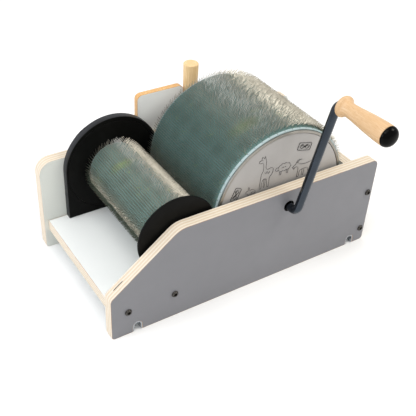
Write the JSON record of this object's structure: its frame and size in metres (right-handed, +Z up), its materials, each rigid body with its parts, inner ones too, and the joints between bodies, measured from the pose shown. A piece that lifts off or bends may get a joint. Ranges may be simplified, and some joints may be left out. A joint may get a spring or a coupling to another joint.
{
  "type": "hand-cranked drum carder",
  "caption": "Hand-cranked drum carder: two pin-clothed drums between laminated plywood side panels, with a feed tray, a bent steel crank, a crossed drive band and a batt pick.",
  "frame": {"origin": "bottom centre of the whole object's box, on the table surface", "axes": "+X towards the crank side, -Y towards the feed tray, +Z up; both drums turn about X"},
  "size_m": [0.3664, 0.424, 0.2887],
  "materials": {
    "laminate": "grey laminate on birch plywood",
    "pale_laminate": "white laminate on birch plywood",
    "beech": "turned beech, oiled",
    "pick_wood": "planed hardwood dowel",
    "drum_end": "printed light grey board",
    "black_plastic": "satin black",
    "gloss_black": "gloss black",
    "nylon": "natural nylon",
    "drum_cloth": "teal card cloth with steel pins",
    "licker_cloth": "pale teal card cloth with steel pins",
    "band": "round polyurethane band",
    "steel": "zinc plated",
    "crank_steel": "blued",
    "drum_tube": "turned"
  },
  "bodies": {
    "frame": {"right_side_panel": "laminate", "left_side_panel": "laminate", "feed_tray": "pale_laminate", "rear_panel": "pale_laminate", "screw_right_tray_front": "steel", "screw_right_tray_rear": "steel", "screw_right_back_lower": "steel", "screw_right_back_upper": "steel", "screw_left_tray_front": "steel", "screw_left_tray_rear": "steel", "screw_left_back_lower": "steel", "screw_left_back_upper": "steel", "clamp_liner_right_front": "steel", "clamp_liner_right_rear": "steel", "clamp_liner_left_front": "steel", "clamp_liner_left_rear": "steel", "drum_bush_right": "nylon", "licker_bush_right": "nylon", "drum_bush_left": "nylon", "licker_bush_left": "nylon", "arch_plate": "black_plastic", "arch_screw_front": "steel", "arch_screw_rear": "steel", "guard_board": "pale_laminate", "guard_screw_front": "steel", "guard_screw_rear": "steel", "drive_band": "band"},
    "drum": {"drum_shell": "drum_tube", "drum_end_right": "drum_end", "drum_end_left": "drum_end", "drum_card_cloth": "drum_cloth", "drum_axle": "steel", "drum_spacer": "nylon", "crank_pin": "steel", "crank_rod": "crank_steel", "drum_pulley": "black_plastic", "drum_pulley_grub_screw": "steel", "handle_retaining_ring": "steel"},
    "licker": {"licker_axle": "steel", "licker_core": "beech", "licker_card_cloth": "licker_cloth", "licker_flange_right": "black_plastic", "licker_flange_left": "black_plastic", "licker_pulley": "black_plastic", "licker_pulley_grub_screw": "steel"},
    "handle": {"handle_grip": "beech", "handle_cap": "gloss_black"},
    "pick": {"pick_handle": "pick_wood", "pick_spike": "steel"}
  },
  "joints": [
    {"name": "crank_turn", "type": "hinge", "parent": "frame", "child": "drum", "pos_m": [-0.04525, 0.056, 0.119], "axis": [1, 0, 0], "continuous": true},
    {"name": "licker_turn", "type": "hinge", "parent": "frame", "child": "licker", "pos_m": [-0.04525, -0.106, 0.119], "axis": [1, 0, 0], "continuous": true},
    {"name": "handle_spin", "type": "hinge", "parent": "drum", "child": "handle", "pos_m": [-0.04525, 0.09767, 0.27451], "axis": [1, 0, 0], "continuous": true},
    {"name": "pick_lift", "type": "slide", "parent": "frame", "child": "pick", "axis": [0, 0, 1], "range_m": [0, 0.09]}
  ],
  "couplings": [
    {"joint": "licker_turn", "follows": "crank_turn", "ratio": -0.25}
  ]
}
